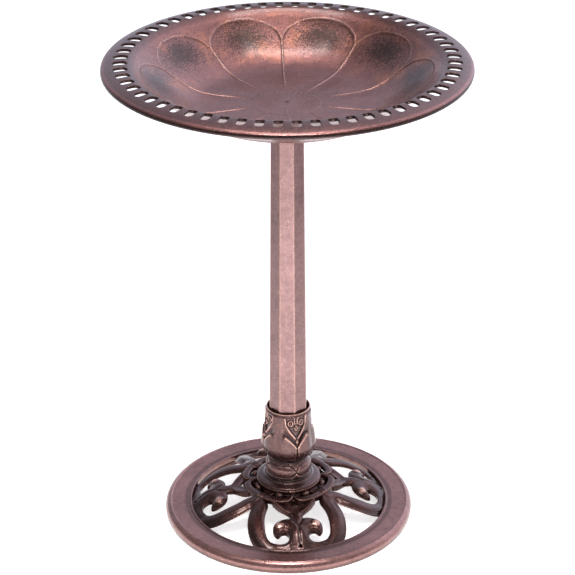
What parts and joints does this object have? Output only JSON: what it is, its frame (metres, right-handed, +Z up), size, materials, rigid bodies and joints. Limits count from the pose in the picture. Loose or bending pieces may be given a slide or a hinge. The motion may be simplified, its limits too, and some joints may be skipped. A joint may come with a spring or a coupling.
{
  "type": "bird bath",
  "caption": "Pedestal bird bath: round slotted-rim bowl with a petal basin on an octagonal pole, leaf collar and pierced scrollwork ring base.",
  "frame": {"origin": "middle of the base ring's underside, on the ground", "axes": "+Z up along the pole; the base's four scroll motifs point along +X, -X, +Y and -Y, and the front is -Y"},
  "size_m": [0.508, 0.508, 0.711],
  "materials": {
    "bowl_copper": "satin antique-copper paint with a dark sprayed patina in the basin",
    "pole_copper": "satin antique-copper paint",
    "collar_copper": "satin antique-copper paint, dark in the recesses",
    "base_copper": "satin antique-copper paint, dark in the recesses",
    "moulded_plastic": "unpainted moulded black plastic",
    "washer_nylon": "natural nylon",
    "screw_steel": "zinc-plated steel"
  },
  "bodies": {
    "base": {"base_ring": "base_copper", "scroll_front": "base_copper", "scroll_right": "base_copper", "scroll_back": "base_copper", "scroll_left": "base_copper", "hub_crown": "base_copper", "collar": "collar_copper", "collar_screws": "screw_steel"},
    "lower_washer": {"lower_washer": "washer_nylon"},
    "pole": {"pole": "pole_copper", "pole_top_plug": "moulded_plastic", "pole_bottom_plug": "moulded_plastic"},
    "upper_washer": {"upper_washer": "washer_nylon"},
    "bowl": {"bowl": "bowl_copper", "spigot_plate": "moulded_plastic", "plate_screws": "screw_steel"}
  },
  "joints": [
    {"name": "pole_lift", "type": "slide", "parent": "base", "child": "lower_washer", "axis": [0, 0, 1], "range_m": [0, 0.08]},
    {"name": "pole_turn", "type": "hinge", "parent": "lower_washer", "child": "pole", "pos_m": [0, 0, 0.105], "axis": [0, 0, 1], "continuous": true},
    {"name": "bowl_lift", "type": "slide", "parent": "pole", "child": "upper_washer", "axis": [0, 0, 1], "range_m": [0, 0.05]},
    {"name": "bowl_turn", "type": "hinge", "parent": "upper_washer", "child": "bowl", "pos_m": [0, 0, 0.6335], "axis": [0, 0, 1], "continuous": true}
  ]
}
